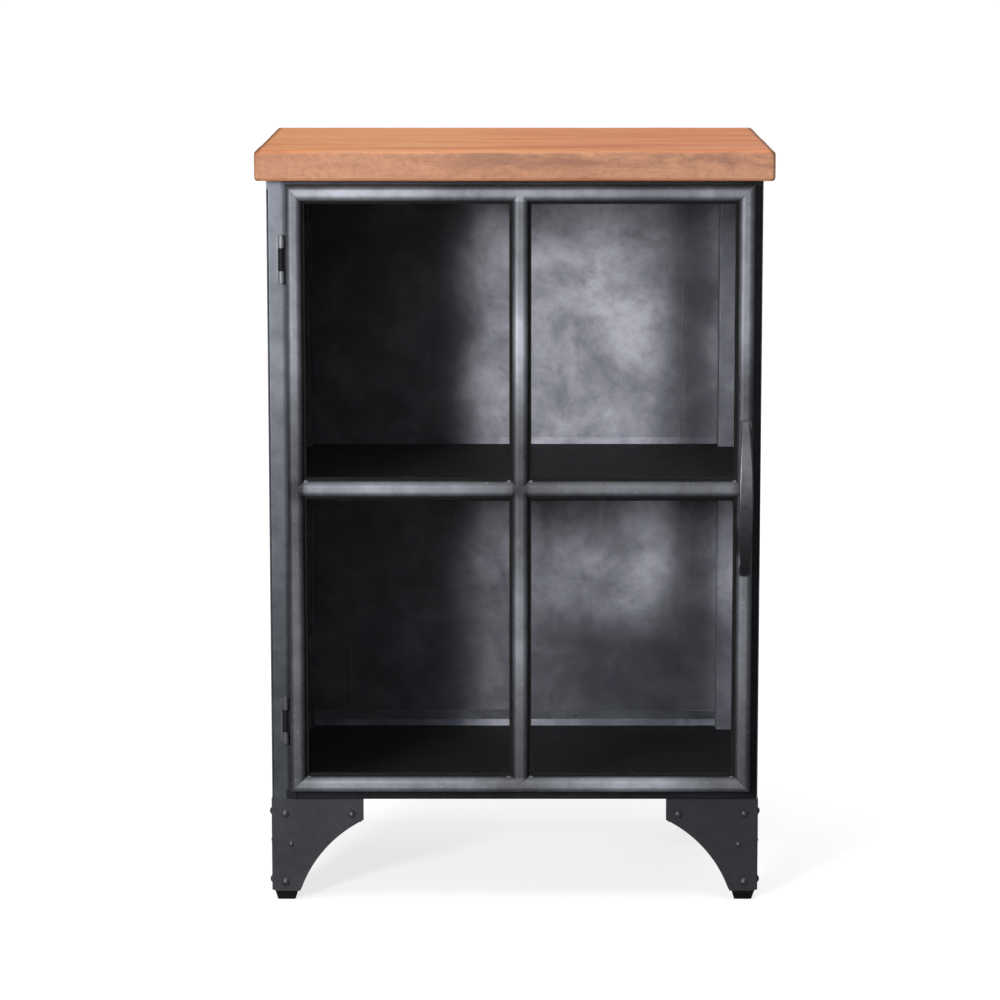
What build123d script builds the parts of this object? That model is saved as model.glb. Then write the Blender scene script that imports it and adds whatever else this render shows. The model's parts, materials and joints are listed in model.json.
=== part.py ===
from build123d import *
import os

# A single-door storage cabinet: a solid wood top on a sheet steel carcass, one glazed door of
# round-fronted bars hung on the left, a middle shelf and four bracket feet.
# Millimetres. X to the right, Y to the back, Z up. The origin is on the floor, at the middle of
# the cabinet's overall box, so the pull's reach in front and the top's back edge are equally far.

# ---- driving dimensions: overall ----
total_height = 768
top_width = 515
top_depth = 380
top_thickness = 30
top_edge_radius = 3.5
body_width = 495
pull_beyond_top = 12
door_setback = 12
back_setback = 11

# ---- carcass ----
post_size = 25
tube_wall = 1.5
sheet = 1.2
angle_thickness = 2
angle_height = 20
top_ring_height = 10
body_bottom = 106
strip_width = 65
hem_width = 8.5
rail_relief = 1
floor_lip_radius = 0.55

# ---- door ----
bar_width = 16
bar_depth = 15
bar_nose_radius = 6
bar_back_radius = 0.8
door_gap = 2
door_left = -228
door_right = 239
door_bottom = 116
door_top = 733
mid_rail_height = 428
gasket_sight = 3
gasket_depth = 8
glass_thickness = 3
glass_bite = 2

# ---- shelf and floor ----
shelf_top = 424
shelf_lip = 14
upstand_height = 7
support_leg = 15

# ---- screws ----
screw_radius = 2
screw_head_radius = 4
screw_head_height = 2.4
recess_span = 4
recess_width = 1
recess_depth = 1.4

# ---- hinges ----
hinge_x = -232.6
hinge_length = 46
hinge_heights = (189, 658.5)
knuckle_radius = 3.3
middle_knuckle = 23
hinge_slack = 0.3
pin_radius = 1.6
pin_clearance = 0.05
hinge_leaf = 1.5
hinge_offset = 6

# ---- bow pull ----
pull_centre_height = 419.5
pull_length = 158
pull_mid_width = 14
pull_end_width = 7
pull_thickness = 5
pull_pad_width = 11
pull_pad_height = 11
pull_pad_proud = 3.5

# ---- feet ----
glide_height = 10
glide_top = 24
glide_bottom = 18
glide_stem = 14
plate = 2
wing_length = 94
wing_end_drop = 21.5
toe_length = 30.5
rivet_shank = 2
hole_slack = 0.05

# ---- levels and planes worked out from the above ----
half_body = body_width / 2
front_limit = -(top_depth + pull_beyond_top) / 2
top_front = front_limit + pull_beyond_top
top_back = top_front + top_depth
top_underside = total_height - top_thickness
door_front = top_front + door_setback
door_back = door_front + bar_depth
frame_front = door_back + door_gap
back_outer = top_back - back_setback
back_inner = back_outer - sheet
strip_front = back_inner - sheet
post_back = strip_front
carcass_top = top_underside - top_ring_height
post_outer = half_body - sheet
post_inner = post_outer - post_size
front_post_back = frame_front + post_size
rear_post_front = post_back - post_size
post_centre_x = post_outer - post_size / 2
post_centre_front = frame_front + post_size / 2
post_centre_rear = post_back - post_size / 2
rear_angle_back = strip_front - sheet
shelf_front = front_post_back + 2
mullion_x = (door_left + door_right) / 2
hinge_y = frame_front - hinge_offset
tiny_gap = 0.3

SIDES = {"left": -1, "right": 1}
ENDS = {"front": -1, "rear": 1}

os.makedirs("parts", exist_ok=True)


def finish(builder, name):
    """Label a finished piece and write its STEP file."""
    builder.part.label = name
    export_step(builder.part, f"parts/{name}.step")
    return builder.part


def block(x0, x1, y0, y1, z0, z1, mode=Mode.ADD):
    """Add a box to the open part, given by its faces."""
    with Locations(((x0 + x1) / 2, (y0 + y1) / 2, (z0 + z1) / 2)):
        Box(abs(x1 - x0), abs(y1 - y0), abs(z1 - z0), mode=mode)


def rod(point, direction, radius, length, mode=Mode.ADD):
    """Add a round rod to the open part, from a point along a direction."""
    with BuildSketch(Plane(origin=point, z_dir=direction)) as section:
        Circle(radius)
    extrude(section.sketch, amount=length, mode=mode)


def drill(points, direction, radius, depth):
    """Cut round holes that start at each point and run along direction."""
    for point in points:
        rod(point, direction, radius, depth, mode=Mode.SUBTRACT)


def cross_recess(point, outward):
    """Cut a cross for the driver into the face of a screw head."""
    with BuildSketch(Plane(origin=point, z_dir=outward)) as cross:
        Rectangle(recess_span, recess_width)
        Rectangle(recess_width, recess_span)
    extrude(cross.sketch, amount=-recess_depth, mode=Mode.SUBTRACT)


# ------------------------------------------------------------------ wood top and its screws
ring_mid = post_size / 2
top_screw_x = 150
side_screw_y = 15
top_screw_points = [
    (sx * top_screw_x, y, carcass_top)
    for sx in SIDES.values()
    for y in (frame_front + ring_mid, back_outer - ring_mid)
] + [(sx * (half_body - ring_mid), side_screw_y, carcass_top) for sx in SIDES.values()]
top_screw_reach = 15


def make_wood_top():
    with BuildPart() as wood_top:
        block(-top_width / 2, top_width / 2, top_front, top_back, top_underside, total_height)
        fillet(wood_top.edges(), radius=top_edge_radius)
        pilots = [(x, y, top_underside) for x, y, _ in top_screw_points]
        drill(pilots, (0, 0, 1), screw_radius, top_screw_reach)
    finish(wood_top, "wood_top")


def make_top_screws():
    """Screws that go up through the top ring into the slab."""
    with BuildPart() as top_screws:
        for point in top_screw_points:
            rod(point, (0, 0, -1), screw_head_radius, screw_head_height)
            rod(point, (0, 0, 1), screw_radius, top_ring_height + top_screw_reach)
        heads = top_screws.edges().filter_by(GeomType.CIRCLE).group_by(Axis.Z)[0]
        chamfer(heads, length=0.8)
        for x, y, z in top_screw_points:
            cross_recess((x, y, z - screw_head_height), (0, 0, -1))
    finish(top_screws, "top_screws")


# ------------------------------------------------------------------ carcass frame
def make_top_ring():
    """Four rectangular tubes, mitred at the corners, that lie on the posts under the top."""
    outer = {}
    inner = {}
    for sy, y in ((-1, frame_front), (1, back_outer)):
        for sx in SIDES.values():
            outer[sx, sy] = (sx * half_body, y)
            inner[sx, sy] = (sx * (half_body - post_size), y - sy * post_size)
    corners_of = {
        "front": [(-1, -1), (1, -1)],
        "rear": [(-1, 1), (1, 1)],
        "left": [(-1, -1), (-1, 1)],
        "right": [(1, -1), (1, 1)],
    }
    bore_width = post_size - 2 * tube_wall
    bore_height = top_ring_height - 2 * tube_wall
    for side, (first, last) in corners_of.items():
        centre = (Vector(*outer[first]) + Vector(*inner[last])) / 2
        with BuildPart() as top_rail:
            with BuildSketch(Plane.XY.offset(carcass_top)):
                with BuildLine():
                    Polyline(outer[first], outer[last], inner[last], inner[first], close=True)
                make_face()
            extrude(amount=top_ring_height)
            bore = (2 * body_width, bore_width) if side in ENDS else (bore_width, 2 * body_width)
            with Locations((centre.X, centre.Y, carcass_top + top_ring_height / 2)):
                Box(*bore, bore_height, mode=Mode.SUBTRACT)
            drill(top_screw_points, (0, 0, 1), screw_radius + hole_slack, top_ring_height)
        finish(top_rail, f"top_rail_{side}")


# Rivet places on one wing of a foot: distance from the corner, height, and whether it is large.
wing_rivets = [(14, 91, True), (81.7, 90.5, True), (20, 59, False), (14, 19.5, True)]
leg_rivets = [rivet for rivet in wing_rivets if rivet[0] < plate + post_size]


def make_post(end, side):
    """A square tube from the glide to the top ring, drilled for its foot's rivets."""
    sx = SIDES[side]
    sy = ENDS[end]
    x = sx * post_centre_x
    y = post_centre_front if end == "front" else post_centre_rear
    with BuildPart() as post:
        with BuildSketch(Plane.XY.offset(glide_height)):
            with Locations((x, y)):
                RectangleRounded(post_size, post_size, radius=tube_wall)
                Rectangle(post_size - 2 * tube_wall, post_size - 2 * tube_wall, mode=Mode.SUBTRACT)
        extrude(amount=carcass_top - glide_height)
        face_y = y + sy * post_size / 2
        face_x = x + sx * post_size / 2
        for reach, height, _ in leg_rivets:
            from_corner = reach - plate
            drill([(face_x - sx * from_corner, face_y, height)], (0, -sy, 0),
                  rivet_shank + hole_slack, tube_wall)
            drill([(face_x, face_y - sy * from_corner, height)], (-sx, 0, 0),
                  rivet_shank + hole_slack, tube_wall)
        if end == "rear":
            drill(back_screws_on(side), (0, -1, 0), screw_radius + hole_slack, 2 * tube_wall)
    finish(post, f"post_{end}_{side}")


def make_bottom_rails():
    """Steel angles between the posts: one leg upright outside, one flat inside under the floor."""
    top = body_bottom + angle_height
    flat = body_bottom + angle_thickness
    with BuildPart() as bottom_rail_front:
        block(-post_inner, post_inner, frame_front, frame_front + angle_thickness, body_bottom, top)
        block(-post_inner, post_inner, frame_front, front_post_back - rail_relief, body_bottom, flat)
    finish(bottom_rail_front, "bottom_rail_front")

    with BuildPart() as bottom_rail_rear:
        block(-post_inner, post_inner, rear_angle_back - angle_thickness, rear_angle_back, body_bottom, top)
        block(-post_inner, post_inner, rear_post_front, rear_angle_back, body_bottom, flat)
        holes = [(x, rear_angle_back, floor_rivet_height) for x in floor_rivet_x]
        drill(holes, (0, -1, 0), floor_rivet_shank + hole_slack, angle_thickness)
        screws = [(x, rear_angle_back, back_screw_low) for x in back_screw_middle_x]
        drill(screws, (0, -1, 0), screw_radius + hole_slack, angle_thickness)
    finish(bottom_rail_rear, "bottom_rail_rear")

    for side, sx in SIDES.items():
        with BuildPart() as bottom_rail_side:
            block(sx * (post_outer - angle_thickness), sx * post_outer,
                  front_post_back, rear_post_front, body_bottom, top)
            block(sx * (post_inner + rail_relief), sx * post_outer,
                  front_post_back, rear_post_front, body_bottom, flat)
        finish(bottom_rail_side, f"bottom_rail_{side}")


# ------------------------------------------------------------------ carcass sheets
back_screw_heights = (138, 276, 419, 562, 696)
back_screw_middle_x = (-96, 0, 96)
back_screw_low = 113.5
floor_rivet_height = 121
floor_rivet_shank = 1.5
rivet_pair_centres = (-143.5, -50, 50, 143.5)
rivet_pair_spacing = 32
floor_rivet_x = [x + half * rivet_pair_spacing / 2 for x in rivet_pair_centres for half in (-1, 1)]


def back_screws_on(side):
    """The screws that go through the back panel into one rear post."""
    return [(SIDES[side] * post_centre_x, post_back, z) for z in back_screw_heights]


def make_side_panels():
    for side, sx in SIDES.items():
        with BuildPart() as side_panel:
            block(sx * post_outer, sx * half_body, frame_front, back_inner, body_bottom, carcass_top)
        finish(side_panel, f"side_panel_{side}")


def make_rear_strips():
    """Flat strips that close the rear corners, their inner edge hemmed double towards the front."""
    for side, sx in SIDES.items():
        inner = post_outer - strip_width
        with BuildPart() as rear_strip:
            block(sx * inner, sx * post_outer, strip_front, back_inner, body_bottom, carcass_top)
            block(sx * inner, sx * (inner + hem_width), rear_angle_back, strip_front,
                  body_bottom, carcass_top)
            hem_edges = rear_strip.edges().filter_by(Axis.Z).group_by(Axis.X)[-1 if side == "left" else 0]
            fillet(hem_edges, radius=0.9 * sheet)
            holes = [(x, back_inner, z) for x, _, z in back_screws_on(side)]
            drill(holes, (0, -1, 0), screw_radius + hole_slack, sheet)
        finish(rear_strip, f"rear_strip_{side}")


def make_back_panel():
    edge_screws = [(x, back_outer, z) for side in SIDES for x, _, z in back_screws_on(side)]
    low_screws = [(x, back_outer, back_screw_low) for x in back_screw_middle_x]
    rivets = [(x, back_outer, floor_rivet_height) for x in floor_rivet_x]
    with BuildPart() as back_panel:
        block(-half_body, half_body, back_inner, back_outer, body_bottom, carcass_top)
        drill(edge_screws + low_screws, (0, -1, 0), screw_radius + hole_slack, sheet)
        drill(rivets, (0, -1, 0), floor_rivet_shank + hole_slack, sheet)
    finish(back_panel, "back_panel")


def make_back_screws():
    """Pan-head screws through the back panel."""
    into_post = back_outer - post_back + tube_wall
    into_angle = back_outer - rear_angle_back + angle_thickness
    places = [(x, z, into_post) for side in SIDES for x, _, z in back_screws_on(side)]
    places += [(x, back_screw_low, into_angle) for x in back_screw_middle_x]
    with BuildPart() as back_screws:
        for x, z, reach in places:
            rod((x, back_outer, z), (0, 1, 0), screw_head_radius, screw_head_height)
            rod((x, back_outer, z), (0, -1, 0), screw_radius, reach)
        rims = back_screws.edges().filter_by(GeomType.CIRCLE).group_by(Axis.Y)[-1]
        fillet(rims, radius=1.6)
        for x, z, _ in places:
            cross_recess((x, back_outer + screw_head_height, z), (0, 1, 0))
    finish(back_screws, "back_screws")


def make_floor_rivets():
    """Small rivets that join the rear bottom rail to the back panel, heads inside the cabinet."""
    head_radius = 3
    head_height = 1.5
    face = rear_angle_back - angle_thickness
    with BuildPart() as floor_rivets:
        for x in floor_rivet_x:
            rod((x, face, floor_rivet_height), (0, -1, 0), head_radius, head_height)
            rod((x, face, floor_rivet_height), (0, 1, 0), floor_rivet_shank, back_outer - face)
        rims = floor_rivets.edges().filter_by(GeomType.CIRCLE).group_by(Axis.Y)[0]
        fillet(rims, radius=1.2)
    finish(floor_rivets, "floor_rivets")


def make_bottom_panel():
    """The floor: a sheet on the flat legs of the bottom rails, notched at the posts."""
    z0 = body_bottom + angle_thickness
    half = post_outer - angle_thickness - tiny_gap
    front = frame_front + angle_thickness + tiny_gap
    back = rear_angle_back - angle_thickness
    notch_x = post_inner - tiny_gap
    with BuildPart() as bottom_panel:
        block(-half, half, front_post_back + tiny_gap, rear_post_front - tiny_gap, z0, z0 + sheet)
        block(-notch_x, notch_x, front, back, z0, z0 + sheet)
        block(-notch_x, notch_x, back - sheet, back, z0, z0 + sheet + upstand_height)
        rim = bottom_panel.edges().filter_by(Axis.X).group_by(Axis.Z)[-1]
        fillet(rim, radius=floor_lip_radius)
    finish(bottom_panel, "bottom_panel")


def make_shelf():
    """The middle shelf: front edge folded down, back edge folded up, notched at the rear posts."""
    half = post_outer - tiny_gap
    front = shelf_front
    back = rear_angle_back - tiny_gap
    z1 = shelf_top
    notch_x = post_inner - tiny_gap
    with BuildPart() as shelf:
        block(-half, half, front, rear_post_front - tiny_gap, z1 - sheet, z1)
        block(-notch_x, notch_x, front, back, z1 - sheet, z1)
        block(-half, half, front, front + sheet, z1 - shelf_lip, z1)
        block(-notch_x, notch_x, back - sheet, back, z1 - sheet, z1 + upstand_height)
        rim = shelf.edges().filter_by(Axis.X).group_by(Axis.Z)[-1]
        fillet(rim, radius=floor_lip_radius)
        upper_edges = shelf.edges().filter_by(Axis.X).filter_by_position(Axis.Z, z1 - 0.1, z1 + 0.1)
        fillet(upper_edges.group_by(Axis.Y)[0], radius=0.9 * sheet)
    finish(shelf, "shelf")


def make_shelf_supports():
    """Two small angles on the side panels, with the shelf on their flat legs."""
    z1 = shelf_top - sheet
    y0 = shelf_front + sheet + tiny_gap
    y1 = rear_post_front
    with BuildPart() as shelf_supports:
        for sx in SIDES.values():
            block(sx * (post_outer - tube_wall), sx * post_outer, y0, y1, z1 - support_leg, z1)
            block(sx * (post_outer - support_leg), sx * post_outer, y0, y1, z1 - tube_wall, z1)
    finish(shelf_supports, "shelf_supports")


# ------------------------------------------------------------------ feet
def wing_outline():
    """One wing of a foot bracket: distance from the corner, height above the floor."""
    top = body_bottom
    arc_top = (wing_length, top - wing_end_drop)
    arc_middle = (50.8, 49.7)
    arc_foot = (toe_length, glide_height + 4)
    heel = 5
    heel_cut = 0.3 * heel
    with BuildLine() as outline:
        Polyline((0, glide_height + heel), (0, top), (wing_length, top), arc_top)
        ThreePointArc(arc_top, arc_middle, arc_foot)
        Polyline(arc_foot, (toe_length - 2, glide_height), (heel, glide_height))
        ThreePointArc((heel, glide_height), (heel_cut, glide_height + heel_cut), (0, glide_height + heel))
    return outline.line


def make_foot_bracket(end, side):
    """A folded steel bracket with a wing on the front or back face and a wing on the side face."""
    sx = SIDES[side]
    sy = ENDS[end]
    corner_x = sx * (post_outer + plate)
    face_y = frame_front if end == "front" else post_back
    corner_y = face_y + sy * plate
    faces = [
        (Plane(origin=(corner_x, corner_y, 0), x_dir=(-sx, 0, 0), z_dir=(0, sx, 0)), -sy * sx),
        (Plane(origin=(corner_x, corner_y, 0), x_dir=(0, -sy, 0), z_dir=(-sy, 0, 0)), sy * sx),
    ]
    outline = wing_outline()
    with BuildPart() as bracket:
        for wing_plane, inward in faces:
            with BuildSketch(wing_plane):
                with BuildLine():
                    add(outline)
                make_face()
            extrude(amount=inward * plate)
        fold = bracket.edges().filter_by(Axis.Z).sort_by_distance((corner_x, corner_y, body_bottom / 2))[0]
        fillet(fold, radius=1.8)
        for reach, height, _ in wing_rivets:
            drill([(corner_x - sx * reach, corner_y, height)], (0, -sy, 0), rivet_shank + hole_slack, plate)
            drill([(corner_x, corner_y - sy * reach, height)], (-sx, 0, 0), rivet_shank + hole_slack, plate)
    finish(bracket, f"foot_bracket_{end}_{side}")


def make_foot_rivets():
    """Dome-headed rivets on every wing: three large and one small."""
    with BuildPart() as foot_rivets:
        for end, sy in ENDS.items():
            corner_y = frame_front - plate if end == "front" else post_back + plate
            for sx in SIDES.values():
                corner_x = sx * (post_outer + plate)
                for reach, height, large in wing_rivets:
                    dome(Plane(origin=(corner_x - sx * reach, corner_y, height), z_dir=(0, sy, 0)), large)
                    dome(Plane(origin=(corner_x, corner_y - sy * reach, height), z_dir=(sx, 0, 0)), large)
    finish(foot_rivets, "foot_rivets")


def dome(face, large):
    """A rivet on a face: a domed head outside and a shank through the plate and what is behind it."""
    radius = 4.2 if large else 2.9
    rise = 2.6 if large else 1.7
    shank = plate + tube_wall
    with BuildSketch(Plane(origin=face.origin, x_dir=face.x_dir, z_dir=-face.y_dir)) as profile:
        with BuildLine():
            TangentArc((0, rise), (radius, 0), tangent=(1, 0))
            Polyline((radius, 0), (rivet_shank, 0), (rivet_shank, -shank), (0, -shank), (0, rise))
        make_face()
    revolve(profile.sketch, axis=Axis(face.origin, face.z_dir))


def make_foot_lugs():
    """Small plates under the bottom rails, behind the outer rivet of each wing."""
    half = 10
    drop = 24
    thick = 3
    with BuildPart() as foot_lugs:
        for end, sy in ENDS.items():
            face_y = frame_front if end == "front" else post_back
            corner_y = face_y + sy * plate
            for sx in SIDES.values():
                corner_x = sx * (post_outer + plate)
                reach, height, _ = wing_rivets[1]
                x = corner_x - sx * reach
                y = corner_y - sy * reach
                side_x = sx * post_outer
                z0 = body_bottom - drop
                block(x - half, x + half, face_y, face_y - sy * thick, z0, body_bottom)
                block(side_x, side_x - sx * thick, y - half, y + half, z0, body_bottom)
                drill([(x, face_y, height)], (0, -sy, 0), rivet_shank + hole_slack, thick)
                drill([(side_x, y, height)], (-sx, 0, 0), rivet_shank + hole_slack, thick)
    finish(foot_lugs, "foot_lugs")


def make_glide(end, side):
    """A tapered pad under a post, with a stem pushed up into the tube."""
    x = SIDES[side] * post_centre_x
    y = post_centre_front if end == "front" else post_centre_rear
    corner_radius = 2.5
    stem_width = post_size - 2 * tube_wall - 2 * hole_slack
    with BuildPart() as glide:
        with BuildSketch():
            with Locations((x, y)):
                RectangleRounded(glide_bottom, glide_bottom, radius=corner_radius)
        with BuildSketch(Plane.XY.offset(glide_height)):
            with Locations((x, y)):
                RectangleRounded(glide_top, glide_top, radius=corner_radius)
        loft(ruled=True)
        with BuildSketch(Plane.XY.offset(glide_height)):
            with Locations((x, y)):
                Rectangle(stem_width, stem_width)
        extrude(amount=glide_stem)
    finish(glide, f"foot_glide_{end}_{side}")


# ------------------------------------------------------------------ door bars
pane_left = (door_left + bar_width, mullion_x - bar_width / 2)
pane_right = (mullion_x + bar_width / 2, door_right - bar_width)
pane_lower = (door_bottom + bar_width, mid_rail_height - bar_width / 2)
pane_upper = (mid_rail_height + bar_width / 2, door_top - bar_width)
panes = {
    "upper_left": (pane_left, pane_upper),
    "upper_right": (pane_right, pane_upper),
    "lower_left": (pane_left, pane_lower),
    "lower_right": (pane_right, pane_lower),
}


def round_bar(plane, length):
    """Add a bar with a rounded nose: the plane's x points from the nose to the back."""
    with BuildSketch(plane) as section:
        with Locations((bar_depth / 2, 0)):
            Rectangle(bar_depth, bar_width)
        fillet(section.vertices().group_by(Axis.X)[0], radius=bar_nose_radius)
        fillet(section.vertices().group_by(Axis.X)[-1], radius=bar_back_radius)
    extrude(section.sketch, amount=length)


def upright_bar(x, z0, z1):
    round_bar(Plane(origin=(x, door_front, z0), x_dir=(0, 1, 0), z_dir=(0, 0, 1)), z1 - z0)


def level_bar(z, x0, x1):
    round_bar(Plane(origin=(x0, door_front, z), x_dir=(0, 1, 0), z_dir=(1, 0, 0)), x1 - x0)


def mitre(x, z, normal_x, normal_z):
    """Keep what lies on the normal's side of a 45 degree plane through a corner of the door."""
    split(bisect_by=Plane(origin=(x, 0, z), z_dir=(normal_x, 0, normal_z)), keep=Keep.TOP)


def make_door_bars():
    """The outer bars are mitred; the mullion and the middle rails are coped to what they meet."""
    bars = {}
    for name, x, sx in (("hinge", door_left, -1), ("latch", door_right, 1)):
        with BuildPart() as door_stile:
            upright_bar(x - sx * bar_width / 2, door_bottom, door_top)
            mitre(x, door_bottom, sx, 1)
            mitre(x, door_top, sx, -1)
            if name == "latch":
                drill([(pull_x, door_front, z) for z in pull_screw_heights], (0, 1, 0),
                      screw_radius + hole_slack, bar_depth)
                sink_pull_screws()
        bars[name] = finish(door_stile, f"door_stile_{name}")

    for name, z, sz in (("bottom", door_bottom, -1), ("top", door_top, 1)):
        with BuildPart() as door_rail:
            level_bar(z - sz * bar_width / 2, door_left, door_right)
            mitre(door_left, z, 1, sz)
            mitre(door_right, z, -1, sz)
        bars[name] = finish(door_rail, f"door_rail_{name}")

    with BuildPart() as door_mullion:
        upright_bar(mullion_x, pane_lower[0] - bar_nose_radius, pane_upper[1] + bar_nose_radius)
        add(bars["bottom"], mode=Mode.SUBTRACT)
        add(bars["top"], mode=Mode.SUBTRACT)
    bars["mullion"] = finish(door_mullion, "door_mullion")

    spans = (("left", pane_left, "hinge", "mullion"), ("right", pane_right, "mullion", "latch"))
    for name, (x0, x1), first, last in spans:
        with BuildPart() as door_mid_rail:
            level_bar(mid_rail_height, x0 - bar_nose_radius, x1 + bar_nose_radius)
            add(bars[first], mode=Mode.SUBTRACT)
            add(bars[last], mode=Mode.SUBTRACT)
        finish(door_mid_rail, f"door_mid_rail_{name}")
    return bars


# ------------------------------------------------------------------ glazing
gasket_front = door_back - gasket_depth
glass_front = door_back - gasket_depth / 2 - glass_thickness / 2


def make_glazing():
    """Each pane is a sheet of glass in a black rubber channel between the bars."""
    inset = gasket_sight - glass_bite
    for name, ((x0, x1), (z0, z1)) in panes.items():
        with BuildPart() as glass:
            block(x0 + inset, x1 - inset, glass_front, glass_front + glass_thickness, z0 + inset, z1 - inset)
        finish(glass, f"glass_{name}")

        with BuildPart() as gasket:
            block(x0, x1, gasket_front, door_back, z0, z1)
            block(x0 + gasket_sight, x1 - gasket_sight, gasket_front, door_back,
                  z0 + gasket_sight, z1 - gasket_sight, mode=Mode.SUBTRACT)
            lips = gasket.faces().sort_by(Axis.Y)[0].inner_wires()[0].edges()
            fillet(lips, radius=gasket_sight / 3)
            block(x0 + inset, x1 - inset, glass_front, glass_front + glass_thickness,
                  z0 + inset, z1 - inset, mode=Mode.SUBTRACT)
        finish(gasket, f"gasket_{name}")


def make_glazing_clips():
    """Thin steel tabs on the backs of the bars that keep the gaskets in."""
    length = 10
    over = 3
    thickness = 1
    grip = bar_width / 2
    y0 = door_back
    y1 = door_back + thickness
    near_end = 60
    heights = [z for pane in (pane_lower, pane_upper) for z in (pane[0] + near_end, pane[1] - near_end)]
    middles = [(x0 + x1) / 2 for x0, x1 in (pane_left, pane_right)]
    with BuildPart() as glazing_clips:
        for z in heights:
            z0 = z - length / 2
            z1 = z + length / 2
            block(pane_left[0] - grip, pane_left[0] + over, y0, y1, z0, z1)
            block(pane_left[1] - over, pane_right[0] + over, y0, y1, z0, z1)
            block(pane_right[1] - over, pane_right[1] + grip, y0, y1, z0, z1)
        for x in middles:
            x0 = x - length / 2
            x1 = x + length / 2
            block(x0, x1, y0, y1, pane_lower[0] - grip, pane_lower[0] + over)
            block(x0, x1, y0, y1, pane_lower[1] - over, pane_upper[0] + over)
            block(x0, x1, y0, y1, pane_upper[1] - over, pane_upper[1] + grip)
        fillet(glazing_clips.edges().filter_by(Axis.Y), radius=1)
    finish(glazing_clips, "glazing_clips")


# ------------------------------------------------------------------ hinges
def on_hinge_axis(radius, z0, z1, mode=Mode.ADD):
    """Add or cut a cylinder on the hinge axis."""
    rod((hinge_x, hinge_y, z0), (0, 0, 1), radius, z1 - z0, mode=mode)


def make_hinges():
    """Barrel hinges: the outer knuckles are welded to the post and the middle one to the door."""
    half = hinge_length / 2
    inner = middle_knuckle / 2
    leaf_outward = 5.5
    leaf_inward = 3
    web_half = 1.6
    web_short = 1
    for name, middle in zip(("lower", "upper"), hinge_heights):
        bottom = middle - half
        top = middle + half
        end_knuckles = ((bottom, middle - inner - hinge_slack / 2), (middle + inner + hinge_slack / 2, top))
        with BuildPart() as frame_half:
            block(hinge_x - leaf_outward, hinge_x + leaf_inward,
                  frame_front - hinge_leaf, frame_front, bottom, top)
            for z0, z1 in end_knuckles:
                on_hinge_axis(knuckle_radius, z0, z1)
                block(hinge_x - web_half, hinge_x + web_half, hinge_y, frame_front - hinge_leaf, z0, z1)
            on_hinge_axis(pin_radius + pin_clearance, bottom, top, mode=Mode.SUBTRACT)
        finish(frame_half, f"hinge_{name}_frame_half")

        with BuildPart() as door_half:
            low = middle - inner + hinge_slack / 2
            high = middle + inner - hinge_slack / 2
            on_hinge_axis(knuckle_radius, low, high)
            block(hinge_x, door_left, hinge_y - web_half, hinge_y + web_half,
                  low + web_short, high - web_short)
            on_hinge_axis(pin_radius + pin_clearance, low, high, mode=Mode.SUBTRACT)
        finish(door_half, f"hinge_{name}_door_half")


def make_hinge_pins():
    """A pin through the three knuckles of each hinge, headed at both ends."""
    head_radius = 2.6
    head_height = 1.5
    head_round = 0.9
    with BuildPart() as hinge_pins:
        for middle in hinge_heights:
            bottom = middle - hinge_length / 2
            top = middle + hinge_length / 2
            on_hinge_axis(head_radius, bottom - head_height, bottom)
            on_hinge_axis(pin_radius, bottom, top)
            on_hinge_axis(head_radius, top, top + head_height)
            rims = hinge_pins.edges().filter_by(GeomType.CIRCLE)
            for z in (bottom - head_height, top + head_height):
                fillet(rims.filter_by_position(Axis.Z, z - 0.1, z + 0.1), radius=head_round)
    finish(hinge_pins, "hinge_pins")


# ------------------------------------------------------------------ bow pull
pull_x = door_right - bar_width / 2
pull_low = pull_centre_height - pull_length / 2
pull_high = pull_centre_height + pull_length / 2
pull_screw_heights = (pull_low + pull_pad_height / 2, pull_high - pull_pad_height / 2)
pull_screw_head = 3.9
pull_screw_sink = 2
pull_screw_into_pad = 2


def sink_pull_screws():
    """Cut the countersinks for the pull's screws in the back of the stile."""
    for z in pull_screw_heights:
        with BuildSketch(Plane(origin=(pull_x, door_back, z), z_dir=(0, -1, 0))) as wide:
            Circle(pull_screw_head + hole_slack)
        with BuildSketch(Plane(origin=(pull_x, door_back - pull_screw_sink, z), z_dir=(0, -1, 0))) as narrow:
            Circle(screw_radius + hole_slack)
        loft([wide.sketch.face(), narrow.sketch.face()], mode=Mode.SUBTRACT)


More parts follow.
